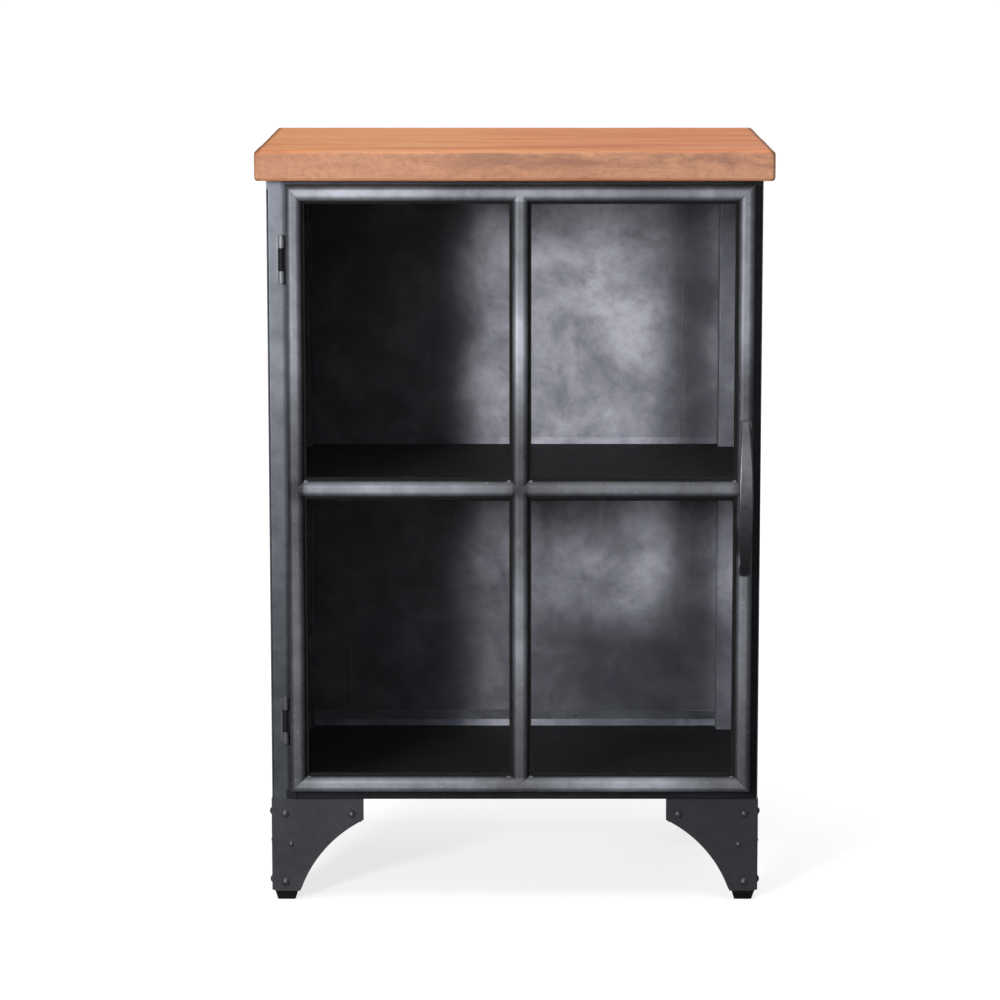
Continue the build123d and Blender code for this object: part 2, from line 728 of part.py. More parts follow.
def make_pull(stile):
    """A strap bowed to the front and widest half way up, with a pad at each end on the stile."""
    bow_inset = 1.5
    edge_round = 1.4
    low = pull_low + bow_inset
    high = pull_high - bow_inset
    inner_low = pull_low + pull_pad_height
    inner_high = pull_high - pull_pad_height
    pad_front = door_front - pull_pad_proud
    with BuildPart() as pull:
        with BuildSketch(Plane(origin=(pull_x, 0, 0), x_dir=(0, 1, 0), z_dir=(1, 0, 0))):
            with BuildLine():
                ThreePointArc((pad_front, low), (front_limit, pull_centre_height), (pad_front, high))
                Line((pad_front, high), (door_front, high))
                Line((door_front, high), (door_front, inner_high))
                ThreePointArc((door_front, inner_high), (front_limit + pull_thickness, pull_centre_height),
                              (door_front, inner_low))
                Line((door_front, inner_low), (door_front, low))
                Line((door_front, low), (pad_front, low))
            make_face()
        extrude(amount=pull_mid_width, both=True)
        with BuildSketch(Plane(origin=(pull_x, 0, 0), x_dir=(1, 0, 0), z_dir=(0, -1, 0))):
            with BuildLine():
                for sx, z0, z1 in ((1, pull_low, pull_high), (-1, pull_high, pull_low)):
                    end_x = sx * pull_end_width / 2
                    ThreePointArc((end_x, z0), (sx * pull_mid_width / 2, pull_centre_height), (end_x, z1))
                    Line((end_x, z1), (-end_x, z1))
            make_face()
        extrude(amount=top_depth, mode=Mode.INTERSECT)
        bow_edges = pull.edges().filter_by_position(Axis.Y, front_limit - 1, door_front - 8)
        fillet(bow_edges, radius=edge_round)
        for z in pull_screw_heights:
            with BuildSketch(Plane(origin=(pull_x, pad_front, z), x_dir=(1, 0, 0), z_dir=(0, 1, 0))):
                RectangleRounded(pull_pad_width, pull_pad_height, radius=3)
            extrude(amount=pull_pad_proud + bar_nose_radius)
        add(stile, mode=Mode.SUBTRACT)
        for z in pull_screw_heights:
            drill([(pull_x, door_front + bar_nose_radius, z)], (0, -1, 0), screw_radius + hole_slack,
                  bar_nose_radius + pull_screw_into_pad)
    finish(pull, "pull")


def make_pull_screws():
    """Countersunk screws from the back of the stile into the pull's pads."""
    shank_front = door_front - pull_screw_into_pad
    with BuildPart() as pull_screws:
        for z in pull_screw_heights:
            with BuildSketch(Plane(origin=(pull_x, door_back, z), z_dir=(0, -1, 0))):
                Circle(pull_screw_head)
            with BuildSketch(Plane(origin=(pull_x, door_back - pull_screw_sink, z), z_dir=(0, -1, 0))):
                Circle(screw_radius)
            loft()
            shank = door_back - pull_screw_sink - shank_front
            rod((pull_x, door_back - pull_screw_sink, z), (0, -1, 0), screw_radius, shank)
            cross_recess((pull_x, door_back, z), (0, 1, 0))
    finish(pull_screws, "pull_screws")


# ------------------------------------------------------------------ catch and bumpers
strike_thickness = 1.2
strike_inset = 1
magnet_gap = 0.5
catch_width = 16
catch_depth = 22
catch_height = 13
bumper_inset = 40
bumper_slack = 0.4


def make_catch():
    """A magnetic catch on the latch side post, level with the middle rail, and its strike plate."""
    front = door_back + strike_thickness + magnet_gap
    z0 = mid_rail_height - catch_height / 2
    z1 = mid_rail_height + catch_height / 2
    with BuildPart() as catch_magnet:
        block(post_inner - catch_width, post_inner, front, front + catch_depth, z0, z1)
        chamfer(catch_magnet.edges().group_by(Axis.Y)[0], length=0.8)
    finish(catch_magnet, "catch_magnet")

    with BuildPart() as strike_plate:
        x0 = post_inner - catch_width + strike_inset
        block(x0, post_inner, door_back, door_back + strike_thickness, z0 + strike_inset, z1 - strike_inset)
        fillet(strike_plate.edges().filter_by(Axis.Y), radius=2)
    finish(strike_plate, "strike_plate")


def make_bumpers():
    """Rubber discs on the latch side post that the door closes against."""
    radius = 4.5
    thickness = door_gap - bumper_slack
    with BuildPart() as door_bumpers:
        for z in (door_bottom + bumper_inset, door_top - bumper_inset):
            rod((pull_x, frame_front, z), (0, -1, 0), radius, thickness)
        chamfer(door_bumpers.edges().group_by(Axis.Y)[0], length=0.4)
    finish(door_bumpers, "door_bumpers")


make_wood_top()
make_top_screws()
make_top_ring()
make_bottom_rails()
make_side_panels()
make_rear_strips()
make_back_panel()
make_back_screws()
make_floor_rivets()
make_bottom_panel()
make_shelf()
make_shelf_supports()
for end in ENDS:
    for side in SIDES:
        make_post(end, side)
        make_foot_bracket(end, side)
        make_glide(end, side)
make_foot_rivets()
make_foot_lugs()
door_bars = make_door_bars()
make_glazing()
make_glazing_clips()
make_hinges()
make_hinge_pins()
make_pull(door_bars["latch"])
make_pull_screws()
make_catch()
make_bumpers()
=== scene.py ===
import json
import math

import bmesh
import bpy
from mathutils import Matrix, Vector, noise


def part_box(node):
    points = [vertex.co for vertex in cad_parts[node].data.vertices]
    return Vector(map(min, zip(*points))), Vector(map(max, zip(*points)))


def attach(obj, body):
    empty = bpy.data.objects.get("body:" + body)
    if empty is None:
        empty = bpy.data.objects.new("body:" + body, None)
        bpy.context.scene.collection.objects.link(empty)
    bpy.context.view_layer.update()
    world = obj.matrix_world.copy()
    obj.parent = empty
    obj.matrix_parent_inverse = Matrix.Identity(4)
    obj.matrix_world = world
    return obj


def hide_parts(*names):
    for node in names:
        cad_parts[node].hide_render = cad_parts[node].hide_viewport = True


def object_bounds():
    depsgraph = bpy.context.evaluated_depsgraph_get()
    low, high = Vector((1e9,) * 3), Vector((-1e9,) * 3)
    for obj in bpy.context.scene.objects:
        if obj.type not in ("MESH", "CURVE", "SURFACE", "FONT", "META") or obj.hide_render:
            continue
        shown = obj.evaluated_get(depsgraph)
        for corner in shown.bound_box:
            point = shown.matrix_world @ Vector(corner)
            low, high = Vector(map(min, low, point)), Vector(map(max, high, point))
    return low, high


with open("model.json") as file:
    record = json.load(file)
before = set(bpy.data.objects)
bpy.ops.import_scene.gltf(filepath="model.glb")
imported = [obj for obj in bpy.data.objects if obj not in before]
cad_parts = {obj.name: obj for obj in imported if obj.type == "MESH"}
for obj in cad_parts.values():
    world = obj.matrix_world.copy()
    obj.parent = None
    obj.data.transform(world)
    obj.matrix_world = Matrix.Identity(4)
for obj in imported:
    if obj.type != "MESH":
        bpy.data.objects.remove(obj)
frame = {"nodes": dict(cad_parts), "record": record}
cad_low, cad_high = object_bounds()

MM = 0.001
scene = bpy.context.scene
nodes = frame["nodes"]


# ------------------------------------------------------------------ places taken from the CAD
def middle(name):
    """The middle of a CAD node's box, across and in height."""
    low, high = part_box(name)
    return (low.x + high.x) / 2, (low.z + high.z) / 2


ring_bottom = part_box("top_rail_front")[0].z
door_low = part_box("door_rail_bottom")[0]
door_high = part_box("door_rail_top")[1]
pull_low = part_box("pull")[0]
mid_rail_z = middle("door_mid_rail_left")[1]
mullion_x = middle("door_mullion")[0]
shelf_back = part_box("shelf")[1].y
bar_width = 16 * MM


# ------------------------------------------------------------------ shader graph helper
class Graph:
    """A material with one Principled shader, and short ways to add nodes that feed it."""

    def __init__(self, name, **settings):
        self.material = bpy.data.materials.new(name)
        self.material.use_nodes = True
        self.tree = self.material.node_tree
        self.shader = self.tree.nodes["Principled BSDF"]
        for socket, value in settings.items():
            self.shader.inputs[socket.replace("_", " ").title().replace("Ior", "IOR")].default_value = value
        place = self.tree.nodes.new("ShaderNodeTexCoord")
        self.place = place.outputs["Object"]
        self.facing = place.outputs["Normal"]

    def node(self, kind, output, links=(), **settings):
        """Add a node, set its properties, link or set its inputs, and return one output."""
        made = self.tree.nodes.new("ShaderNode" + kind)
        for name, value in settings.items():
            setattr(made, name, value)
        for socket, value in dict(links).items():
            self.feed(made.inputs[socket], value)
        return made.outputs[output]

    def feed(self, socket, value):
        if isinstance(value, bpy.types.NodeSocket):
            self.tree.links.new(value, socket)
        else:
            socket.default_value = value

    def stretch(self, scale, move=(0, 0, 0)):
        """Places scaled and then moved, so that a pattern can be drawn out along one axis."""
        return self.node("Mapping", "Vector", {"Vector": self.place, "Location": move, "Scale": scale})

    def noise(self, scale, detail=4, rough=0.55, warp=0.0, source=None):
        return self.node("TexNoise", "Fac", {
            "Vector": source or self.place, "Scale": scale, "Detail": detail,
            "Roughness": rough, "Distortion": warp})

    def ramp(self, factor, *stops):
        """Map a factor through (position, grey or colour) stops."""
        made = self.tree.nodes.new("ShaderNodeValToRGB")
        self.tree.links.new(factor, made.inputs["Fac"])
        elements = made.color_ramp.elements
        while len(elements) < len(stops):
            elements.new(0.5)
        for element, (position, colour) in zip(elements, stops):
            element.position = position
            element.color = (colour,) * 3 + (1,) if isinstance(colour, (int, float)) else (*colour, 1)
        return made.outputs["Color"]

    def math(self, operation, a, b=0.0):
        return self.node("Math", 0, {0: a, 1: b}, operation=operation)

    def span(self, value, low, high, to_low=0.0, to_high=1.0):
        """A smooth step of a value from low to high."""
        return self.node("MapRange", 0, {
            "Value": value, "From Min": low, "From Max": high, "To Min": to_low, "To Max": to_high},
            interpolation_type="SMOOTHSTEP")

    def profile(self, value, *stops):
        """A grey that follows (place, grey) stops along a coordinate in metres."""
        low = stops[0][0]
        high = stops[-1][0]
        along = self.node("MapRange", 0, {
            "Value": value, "From Min": low, "From Max": high, "To Min": 0.0, "To Max": 1.0})
        return self.ramp(along, *[((place - low) / (high - low), grey) for place, grey in stops])

    def mix(self, factor, a, b, blend="MIX"):
        made = self.tree.nodes.new("ShaderNodeMix")
        made.data_type = "RGBA"
        made.blend_type = blend
        for index, value in ((0, factor), (6, a), (7, b)):
            if isinstance(value, tuple) and len(value) == 3:
                value = (*value, 1)
            self.feed(made.inputs[index], value)
        return made.outputs[2]

    def times(self, colour, number):
        """A colour made brighter or darker by a number."""
        grey = self.node("CombineColor", 0, {0: number, 1: number, 2: number})
        return self.mix(1.0, colour, grey, "MULTIPLY")

    def fade(self, factor, a, b):
        """A number that goes from a to b as the factor goes from 0 to 1."""
        return self.node("Mix", 0, {0: factor, 2: a, 3: b})

    def part(self, source, axis):
        return self.node("SeparateXYZ", axis, {0: source})

    def gap(self, x, z, to_x, to_z):
        """How far a place is from another, seen from the front."""
        place = self.node("CombineXYZ", 0, {0: x, 1: 0.0, 2: z})
        return self.node("VectorMath", "Value", {0: place, 1: (to_x, 0, to_z)}, operation="DISTANCE")

    def bump(self, height, distance, strength=1.0, below=None):
        links = {"Height": height, "Distance": distance, "Strength": strength}
        if below:
            links["Normal"] = below
        return self.node("Bump", "Normal", links)

    def finish(self, colour=None, rough=None, normal=None):
        for socket, value in (("Base Color", colour), ("Roughness", rough), ("Normal", normal)):
            if value is not None:
                self.feed(self.shader.inputs[socket], value)
        return self.material


# ------------------------------------------------------------------ wood
def wood():
    g = Graph("top_wood_grain", specular_ior_level=0.16)
    box_low, box_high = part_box("wood_top")
    board = g.stretch((2.6, 26, 26), move=(0.3, 0.1, 0))
    broad = g.noise(1.0, detail=3, rough=0.5, warp=0.35, source=board)
    fibre_place = g.stretch((3.2, 240, 240))
    fibre = g.noise(1.0, detail=6, rough=0.62, warp=0.12, source=fibre_place)
    fine = g.noise(1.0, detail=4, rough=0.6, source=g.stretch((14, 900, 900)))
    pore = g.ramp(g.noise(1.0, detail=2, rough=0.5, source=g.stretch((45, 1500, 1500))),
                  (0.62, 0.0), (0.70, 1.0))
    base = g.ramp(broad, (0.28, (0.62, 0.20, 0.085)), (0.40, (0.80, 0.315, 0.135)),
                  (0.52, (0.84, 0.39, 0.185)), (0.64, (0.78, 0.27, 0.11)), (0.74, (0.66, 0.225, 0.09)))
    streak = g.ramp(fibre, (0.30, (0.72, 0.64, 0.60)), (0.52, (1.0, 1.0, 1.0)), (0.75, (1.08, 1.06, 1.04)))
    top_colour = g.mix(0.55, base, streak, "MULTIPLY")
    # Painted shade: the top is darker and deeper in colour towards its right end.
    right_end_shade = g.span(g.part(g.place, "X"), -0.10, 0.18)
    top_colour = g.mix(g.math("MULTIPLY", right_end_shade, 0.9), top_colour, (0.90, 0.78, 0.76), "MULTIPLY")
    # The sawn front and back edges are paler, mottled with grey-brown towards their upper part.
    saw = g.noise(1.0, detail=8, rough=0.72, warp=0.3, source=g.stretch((150, 200, 200)))
    speckle = g.ramp(saw, (0.33, (0.76, 0.73, 0.72)), (0.50, (0.96, 0.96, 0.96)), (0.66, (1.10, 1.09, 1.08)))
    edge_base = g.ramp(broad, (0.30, (0.52, 0.245, 0.145)), (0.50, (0.62, 0.315, 0.19)),
                       (0.70, (0.56, 0.26, 0.15)))
    edge_base = g.mix(0.85, edge_base, speckle, "MULTIPLY")
    patch = g.noise(1.0, detail=6, rough=0.68, warp=0.8, source=g.stretch((16, 16, 60), move=(0.05, 0, 0.2)))
    height = g.span(g.part(g.place, "Z"), box_low.z, box_high.z)
    along = g.profile(g.part(g.place, "X"), (-0.26, 0.0), (-0.12, 0.25), (-0.02, 0.9), (0.26, 1.0))
    grey_factor = g.math("MULTIPLY", g.ramp(patch, (0.42, 0.0), (0.60, 1.0)),
                         g.ramp(height, (0.1, 0.10), (0.6, 0.72)))
    grey_factor = g.math("MULTIPLY", grey_factor, along)
    edge_colour = g.mix(grey_factor, edge_base, (0.29, 0.150, 0.110))
    # End grain: rings about a heart below the slab.
    ring_place = g.stretch((0, 1, 1), move=(0, 0.09, -0.62))
    rings = g.node("TexWave", "Fac", {"Vector": ring_place, "Scale": 42, "Distortion": 3.0, "Detail": 3,
                                      "Detail Scale": 1.4}, wave_type="RINGS", rings_direction="X")
    end_colour = g.ramp(rings, (0.1, (0.40, 0.16, 0.075)), (0.6, (0.60, 0.28, 0.14)),
                        (1.0, (0.46, 0.19, 0.09)))
    normal_x = g.math("ABSOLUTE", g.part(g.facing, "X"))
    normal_z = g.math("ABSOLUTE", g.part(g.facing, "Z"))
    colour = g.mix(g.span(normal_z, 0.35, 0.8), edge_colour, top_colour)
    colour = g.mix(g.span(normal_x, 0.5, 0.85), colour, end_colour)
    # The eased arrises, and a line along both ends of the top, are darker.
    arris = g.math("MULTIPLY", g.span(normal_z, 0.25, 0.6), g.span(normal_z, 0.98, 0.75))
    corner = g.math("MULTIPLY", g.span(normal_x, 0.2, 0.45), g.span(normal_x, 0.98, 0.8))
    end_line = g.math("MULTIPLY", g.span(normal_x, 0.12, 0.3), g.span(normal_z, 0.15, 0.4))
    near_end = g.span(g.math("ABSOLUTE", g.part(g.place, "X")), box_high.x - 7 * MM, box_high.x - 4 * MM)
    near_end = g.math("MULTIPLY", near_end, g.span(normal_z, 0.35, 0.8))
    darker_edges = g.math("MAXIMUM", g.math("MULTIPLY", arris, 0.08), g.math("MULTIPLY", corner, 0.10))
    darker_edges = g.math("MAXIMUM", darker_edges, g.math("MULTIPLY", end_line, 0.85))
    darker_edges = g.math("MAXIMUM", darker_edges, g.math("MULTIPLY", near_end, 0.75))
    colour = g.mix(darker_edges, colour, (0.17, 0.065, 0.032))
    colour = g.mix(g.math("MULTIPLY", pore, 0.35), colour, (0.20, 0.075, 0.03))
    rough = g.ramp(fibre, (0.3, 0.78), (0.7, 0.62))
    relief = g.bump(fine, 0.0002, 0.5)
    relief = g.bump(fibre, 0.0006, 0.5, below=relief)
    relief = g.bump(g.mix(1.0, pore, (0, 0, 0), "SUBTRACT"), -0.0003, 0.4, below=relief)
    return g.finish(colour, rough, relief)


# ------------------------------------------------------------------ metals
def scratches(g, along):
    """Fine brushing along one axis."""
    scale = [1400, 1400, 1400]
    scale["xyz".index(along)] = 22
    return g.noise(1.0, detail=3, rough=0.7, source=g.stretch(tuple(scale)))


def gunmetal(name, dark, light, along="z", crest=None, fade=None, metallic=0.85, rough=(0.34, 0.52),
             wear=0.25, cloud=7.0, shade=None, upstand=None, specular=0.5):
    """Blackened steel, brighter in clouds and, with a crest, with a painted highlight on the forward-facing
    nose of a bar and painted shade on its upper rounding.

    A fade paints shade on it, darker downwards, and a shade paints light and shade on it by place. Behind the
    plane of an upstand it takes the grey of the rear wall, with that wall's painted light and shade, made
    brighter lower down, for the folded edge of a shelf.
    """
    g = Graph(name, metallic=metallic, specular_ior_level=specular)
    clouds = g.noise(cloud, detail=6, rough=0.62, warp=0.4)
    mottled = g.noise(cloud * 9, detail=5, rough=0.65)
    brushed = scratches(g, along)
    tone = g.ramp(g.mix(0.35, clouds, mottled), (0.34, 0.0), (0.66, 1.0))
    colour = g.mix(tone, dark, light)
    # With a crest: a painted highlight along the forward-facing nose of a bar, with painted shade on its
    # upper rounding, broken up by the mottling.
    if crest:
        nose_highlight = g.profile(g.math("MULTIPLY", g.part(g.facing, "Y"), -1.0), *crest)
        upper_rounding_shade = g.math("MULTIPLY", g.math("MAXIMUM", g.part(g.facing, "Z"), 0.0), 0.2)
        nose_highlight = g.math("MULTIPLY", nose_highlight, g.math("SUBTRACT", 1.0, upper_rounding_shade))
        ragged_highlight = g.math("MULTIPLY", nose_highlight, g.ramp(mottled, (0.25, 0.86), (0.6, 1.0)))
        colour = g.times(colour, ragged_highlight)
    # Painted shade, darker downwards.
    if fade:
        low_z, high_z, least = fade
        colour = g.times(colour, g.span(g.part(g.place, "Z"), low_z, high_z, least, 1.0))
    # Painted light and shade by place.
    if shade:
        colour = g.times(colour, shade(g))
    # Behind an upstand: the rear wall's grey, with its painted light and shade, made brighter lower down.
    if upstand:
        behind = g.span(g.part(g.place, "Y"), upstand, upstand + 0.5 * MM)
        lip_brightening = g.span(g.part(g.place, "Z"), 0.15, 0.40, 2.9, 1.35)
        colour = g.mix(behind, colour, g.times(wall_patina_and_light(g), lip_brightening))
    specks = g.ramp(g.noise(420, detail=2), (0.66, 0.0), (0.74, 1.0))
    colour = g.mix(g.math("MULTIPLY", specks, wear), colour, tuple(min(1, 1.5 * c) for c in light))
    finish_rough = g.ramp(g.mix(0.5, brushed, mottled), (0.3, rough[0]), (0.7, rough[1]))
    relief = g.bump(brushed, 0.00006, 0.35)
    relief = g.bump(mottled, 0.0004, 0.3, below=relief)
    return g.finish(colour, finish_rough, relief)


def wall_patina_and_light(g):
    """The cloudy grey patina of the rear wall with painted light and shade: a painted shadow, black at the
    hinge side, a painted pool of light, brightest behind the right panes, and a painted shadow band near the
    right edge.
    """
    x = g.part(g.place, "X")
    z = g.part(g.place, "Z")
    clouds = g.noise(7.0, detail=5, rough=0.55, warp=0.25)
    puffs = g.noise(17, detail=7, rough=0.62, warp=0.35)
    flecks = g.noise(70, detail=6, rough=0.75)
    tone = g.ramp(g.mix(0.30, puffs, clouds), (0.36, (0.145, 0.145, 0.166)), (0.50, (0.285, 0.285, 0.322)),
                  (0.62, (0.44, 0.44, 0.485)))
    tone = g.mix(0.6, tone, g.ramp(flecks, (0.32, 0.62), (0.46, 0.96), (0.68, 1.12)), "MULTIPLY")
    across = g.math("ADD", x, g.math("MULTIPLY", g.math("SUBTRACT", clouds, 0.5), 0.05))
    # Painted shadow of the left side wall across the hinge side.
    hinge_side_shadow = ((-0.25, 0.12), (-0.165, 0.12), (-0.14, 0.13), (-0.115, 0.15), (-0.085, 0.10),
                  (-0.071, 0.07))
    # Painted light and shade across the wall above the shelf, below it and near the floor: a painted pool of
    # light behind the right panes and a painted shadow band near the right edge.
    upper = g.profile(across, *hinge_side_shadow, (-0.060, 0.09), (-0.049, 0.22), (-0.038, 0.44), (-0.027, 0.62),
                      (-0.010, 0.74), (0.025, 0.86), (0.070, 0.88), (0.115, 0.98), (0.145, 0.90),
                      (0.165, 0.62), (0.180, 0.36), (0.192, 0.22), (0.205, 0.24), (0.215, 0.40),
                      (0.222, 0.37), (0.25, 0.41))
    middle = g.profile(across, *hinge_side_shadow, (-0.060, 0.12), (-0.049, 0.26), (-0.038, 0.48), (-0.020, 0.60),
                       (0.025, 0.64), (0.065, 0.66), (0.100, 0.80), (0.130, 1.22), (0.150, 1.34),
                       (0.165, 1.15), (0.180, 0.50), (0.195, 0.32), (0.207, 0.44), (0.222, 0.84),
                       (0.25, 0.9))
    foot = g.profile(across, *hinge_side_shadow, (-0.060, 0.09), (-0.049, 0.15), (-0.030, 0.22), (-0.010, 0.27),
                     (0.040, 0.20), (0.090, 0.08), (0.140, 0.09), (0.175, 0.12), (0.205, 0.15),
                     (0.25, 0.45))
    # Below the shelf it goes darker towards the floor.
    rise = g.math("ADD", z, g.math("MULTIPLY", g.math("SUBTRACT", clouds, 0.5), 0.06))
    lower = g.mix(g.span(rise, 0.20, 0.315), foot, middle)
    shade = g.mix(g.span(z, 0.415, 0.425), lower, upper)
    # A faint blue is added as the cool tint of the painted shade.
    return g.mix(1.0, g.mix(1.0, tone, shade, "MULTIPLY"), (0.004, 0.006, 0.012), "ADD")


def patina():
    """The sheets that make the rear wall, in a cloudy grey patina with painted light and shade on the inner
    face.
    """
    g = Graph("patina_steel_clouds", metallic=0.35, specular_ior_level=0.4)
    small = g.noise(38, detail=6, rough=0.7)
    rough = g.ramp(small, (0.3, 0.48), (0.7, 0.64))
    relief = g.bump(scratches(g, "x"), 0.00004, 0.3)
    relief = g.bump(small, 0.0002, 0.2, below=relief)
    # The outer face of the back sheet is left evenly blackened.
    outer_tone = g.ramp(g.noise(9, detail=6, rough=0.62, warp=0.3), (0.36, (0.030, 0.031, 0.037)),
                        (0.66, (0.062, 0.064, 0.074)))
    outer = g.span(g.part(g.facing, "Y"), 0.2, 0.6)
    return g.finish(g.mix(outer, wall_patina_and_light(g), outer_tone), rough, relief)


def rubber():
    g = Graph("black_rubber_moulded", specular_ior_level=0.15)
    grain = g.noise(900, detail=3)
    dust = g.noise(60, detail=5, rough=0.7)
    colour = g.ramp(dust, (0.4, (0.006, 0.006, 0.0065)), (0.75, (0.016, 0.016, 0.0165)))
    return g.finish(colour, g.ramp(dust, (0.3, 0.62), (0.7, 0.8)), g.bump(grain, 0.0001, 0.4))


def plastic():
    g = Graph("catch_plastic_moulded", specular_ior_level=0.4)
    grain = g.noise(1200, detail=2)
    colour = g.ramp(g.noise(90, detail=4), (0.3, (0.018, 0.018, 0.02)), (0.8, (0.032, 0.032, 0.034)))
    return g.finish(colour, g.ramp(grain, (0.3, 0.42), (0.7, 0.55)), g.bump(grain, 0.00006, 0.4))


def glass():
    """Clear low-reflection glass that lets light through to the shelves."""
    g = Graph("clear_glass_pane", transmission_weight=1.0, ior=1.12)
    smear = g.noise(14, detail=5, rough=0.6)
    g.finish((0.985, 0.985, 0.985, 1), g.ramp(smear, (0.4, 0.0), (0.8, 0.03)))
    clear = g.node("BsdfTransparent", 0, {"Color": (0.97, 0.97, 0.97, 1)})
    shadow = g.node("LightPath", "Is Shadow Ray")
    mixed = g.node("MixShader", 0, {0: shadow, 1: g.shader.outputs[0], 2: clear})
    g.tree.links.new(mixed, g.tree.nodes["Material Output"].inputs["Surface"])
    return g.material


def frame_shade(g):
    """Painted shadow: the ring under the slab, the rail under the door and the latch side post are the
    darkest parts of the front, and the reveal beside the hinge stile is darkened too.
    """
    x = g.part(g.place, "X")
    z = g.part(g.place, "Z")
    front = g.span(g.part(g.place, "Y"), 0.0, -0.10)
    inside = g.span(x, door_low.x - 6.5 * MM, door_low.x - 3.5 * MM)
    right = g.math("MULTIPLY", g.span(x, 0.19, 0.235), 0.78)
    ring = g.math("MULTIPLY", g.span(z, ring_bottom - 0.5 * MM, ring_bottom + 0.5 * MM), 0.45)
    sill = g.math("MULTIPLY", g.span(z, door_low.z + 1.5 * MM, door_low.z - 1.5 * MM), 0.70)
    reveal = g.math("MULTIPLY", g.span(x, door_low.x - 5.5 * MM, door_low.x - 1.5 * MM), 0.62)
    level = g.math("MULTIPLY", g.math("MAXIMUM", ring, sill), inside)
    dark = g.math("MAXIMUM", g.math("MAXIMUM", right, reveal), level)
    return g.math("SUBTRACT", 1.0, g.math("MULTIPLY", dark, front))


def door_shade(g):
    """Painted highlights and shade along the door bars, the hinge stile duller and the bottom rail brighter,
    with a painted shadow of the pull and darker welded crossings.
    """
    x = g.part(g.place, "X")
    z = g.part(g.place, "Z")
    from_side = g.math("MINIMUM", g.math("SUBTRACT", x, door_low.x), g.math("SUBTRACT", door_high.x, x))
    low_mitre = g.math("GREATER_THAN", from_side, g.math("SUBTRACT", z, door_low.z))
    high_mitre = g.math("GREATER_THAN", from_side, g.math("SUBTRACT", door_high.z, z))
    past = bar_width + 0.5 * MM
    within = bar_width - 0.5 * MM
    stile = g.span(x, door_low.x + past, door_low.x + within)
    latch = g.span(x, door_high.x - past, door_high.x - within)
    below = g.span(z, door_low.z + past, door_low.z + within)
    above = g.span(z, door_high.z - past, door_high.z - within)
    from_mullion = g.math("ABSOLUTE", g.math("SUBTRACT", x, mullion_x))
    centre = g.span(from_mullion, bar_width / 2 + 0.2 * MM, bar_width / 2 - 0.2 * MM)
    # Painted highlights and shade along each bar: the hinge stile, the latch stile, the mullion, the bottom
    # rail, the top rail and the mid rails.
    hinge_tone = g.profile(z, (0.115, 0.37), (0.198, 0.40), (0.238, 0.53), (0.278, 0.53), (0.318, 0.42),
                           (0.348, 0.37), (0.373, 0.27), (0.458, 0.28), (0.493, 0.33), (0.523, 0.40),
                           (0.548, 0.53), (0.578, 0.62), (0.618, 0.62), (0.673, 0.54), (0.733, 0.50))
    latch_tone = g.profile(z, (0.115, 0.40), (0.168, 0.40), (0.198, 0.50), (0.218, 0.66), (0.258, 0.80),
                           (0.338, 0.80), (0.518, 0.38), (0.533, 0.45), (0.553, 0.56), (0.573, 0.74),
                           (0.593, 0.94), (0.618, 0.86), (0.668, 0.72), (0.733, 0.68))
    centre_tone = g.profile(z, (0.115, 0.35), (0.138, 0.36), (0.198, 0.52), (0.228, 0.66), (0.263, 0.98),
                            (0.288, 0.72), (0.313, 1.05), (0.338, 0.75), (0.368, 0.54), (0.408, 0.38),
                            (0.433, 0.34), (0.457, 0.26), (0.489, 0.34), (0.513, 0.50), (0.537, 0.80),
                            (0.561, 1.12), (0.587, 1.30), (0.605, 1.05), (0.625, 0.72), (0.665, 0.47),
                            (0.733, 0.40))
    below_tone = g.profile(x, (-0.228, 0.75), (-0.205, 0.85), (-0.185, 1.42), (-0.150, 1.35), (-0.140, 1.45),
                           (-0.105, 1.12), (-0.070, 1.30), (-0.035, 1.0), (-0.006, 0.60), (0.020, 0.68),
                           (0.045, 1.0), (0.085, 1.35), (0.110, 1.85), (0.150, 1.62), (0.170, 1.15),
                           (0.190, 0.75), (0.205, 0.62), (0.239, 0.8))
    above_tone = g.profile(x, (-0.228, 0.70), (-0.215, 0.92), (-0.172, 1.20), (-0.140, 1.06), (-0.100, 0.92),
                           (-0.070, 0.76), (0.045, 0.74), (0.075, 0.80), (0.105, 0.62), (0.145, 0.56),
                           (0.175, 0.60), (0.192, 0.78), (0.210, 0.66), (0.239, 0.72))
    middle_tone = g.profile(x, (-0.212, 0.72), (-0.175, 0.86), (-0.145, 1.10), (-0.115, 1.06), (-0.075, 0.92),
                            (-0.040, 0.72), (-0.005, 0.60), (0.025, 0.42), (0.065, 0.55), (0.110, 0.62),
                            (0.160, 0.62), (0.185, 0.55), (0.203, 0.66), (0.223, 0.60))
    tone = g.fade(stile, g.fade(latch, g.fade(centre, middle_tone, centre_tone), latch_tone), hinge_tone)
    tone = g.fade(g.math("MULTIPLY", below, low_mitre), tone, below_tone)
    tone = g.fade(g.math("MULTIPLY", above, high_mitre), tone, above_tone)
    # Painted shadow of the pull on the stile beside its lower end: a spot three times as tall as it is wide.
    narrow = 3.0
    pull_shadow = g.gap(g.math("MULTIPLY", x, narrow), z, narrow * (door_high.x - 14.5 * MM), pull_low.z + 34 * MM)
    tone = g.math("MULTIPLY", tone, g.span(pull_shadow, 8 * MM, 20 * MM, 0.25, 1.0))
    # The uprights are darker around their joints with the mid rail.
    for name in ("door_mullion", "door_stile_hinge", "door_stile_latch"):
        away = g.gap(x, z, middle(name)[0], mid_rail_z)
        joint_darkening = g.math("MULTIPLY", g.span(away, 16 * MM, 5 * MM), 0.5)
        tone = g.math("MULTIPLY", tone, g.math("SUBTRACT", 1.0, joint_darkening))
    return tone


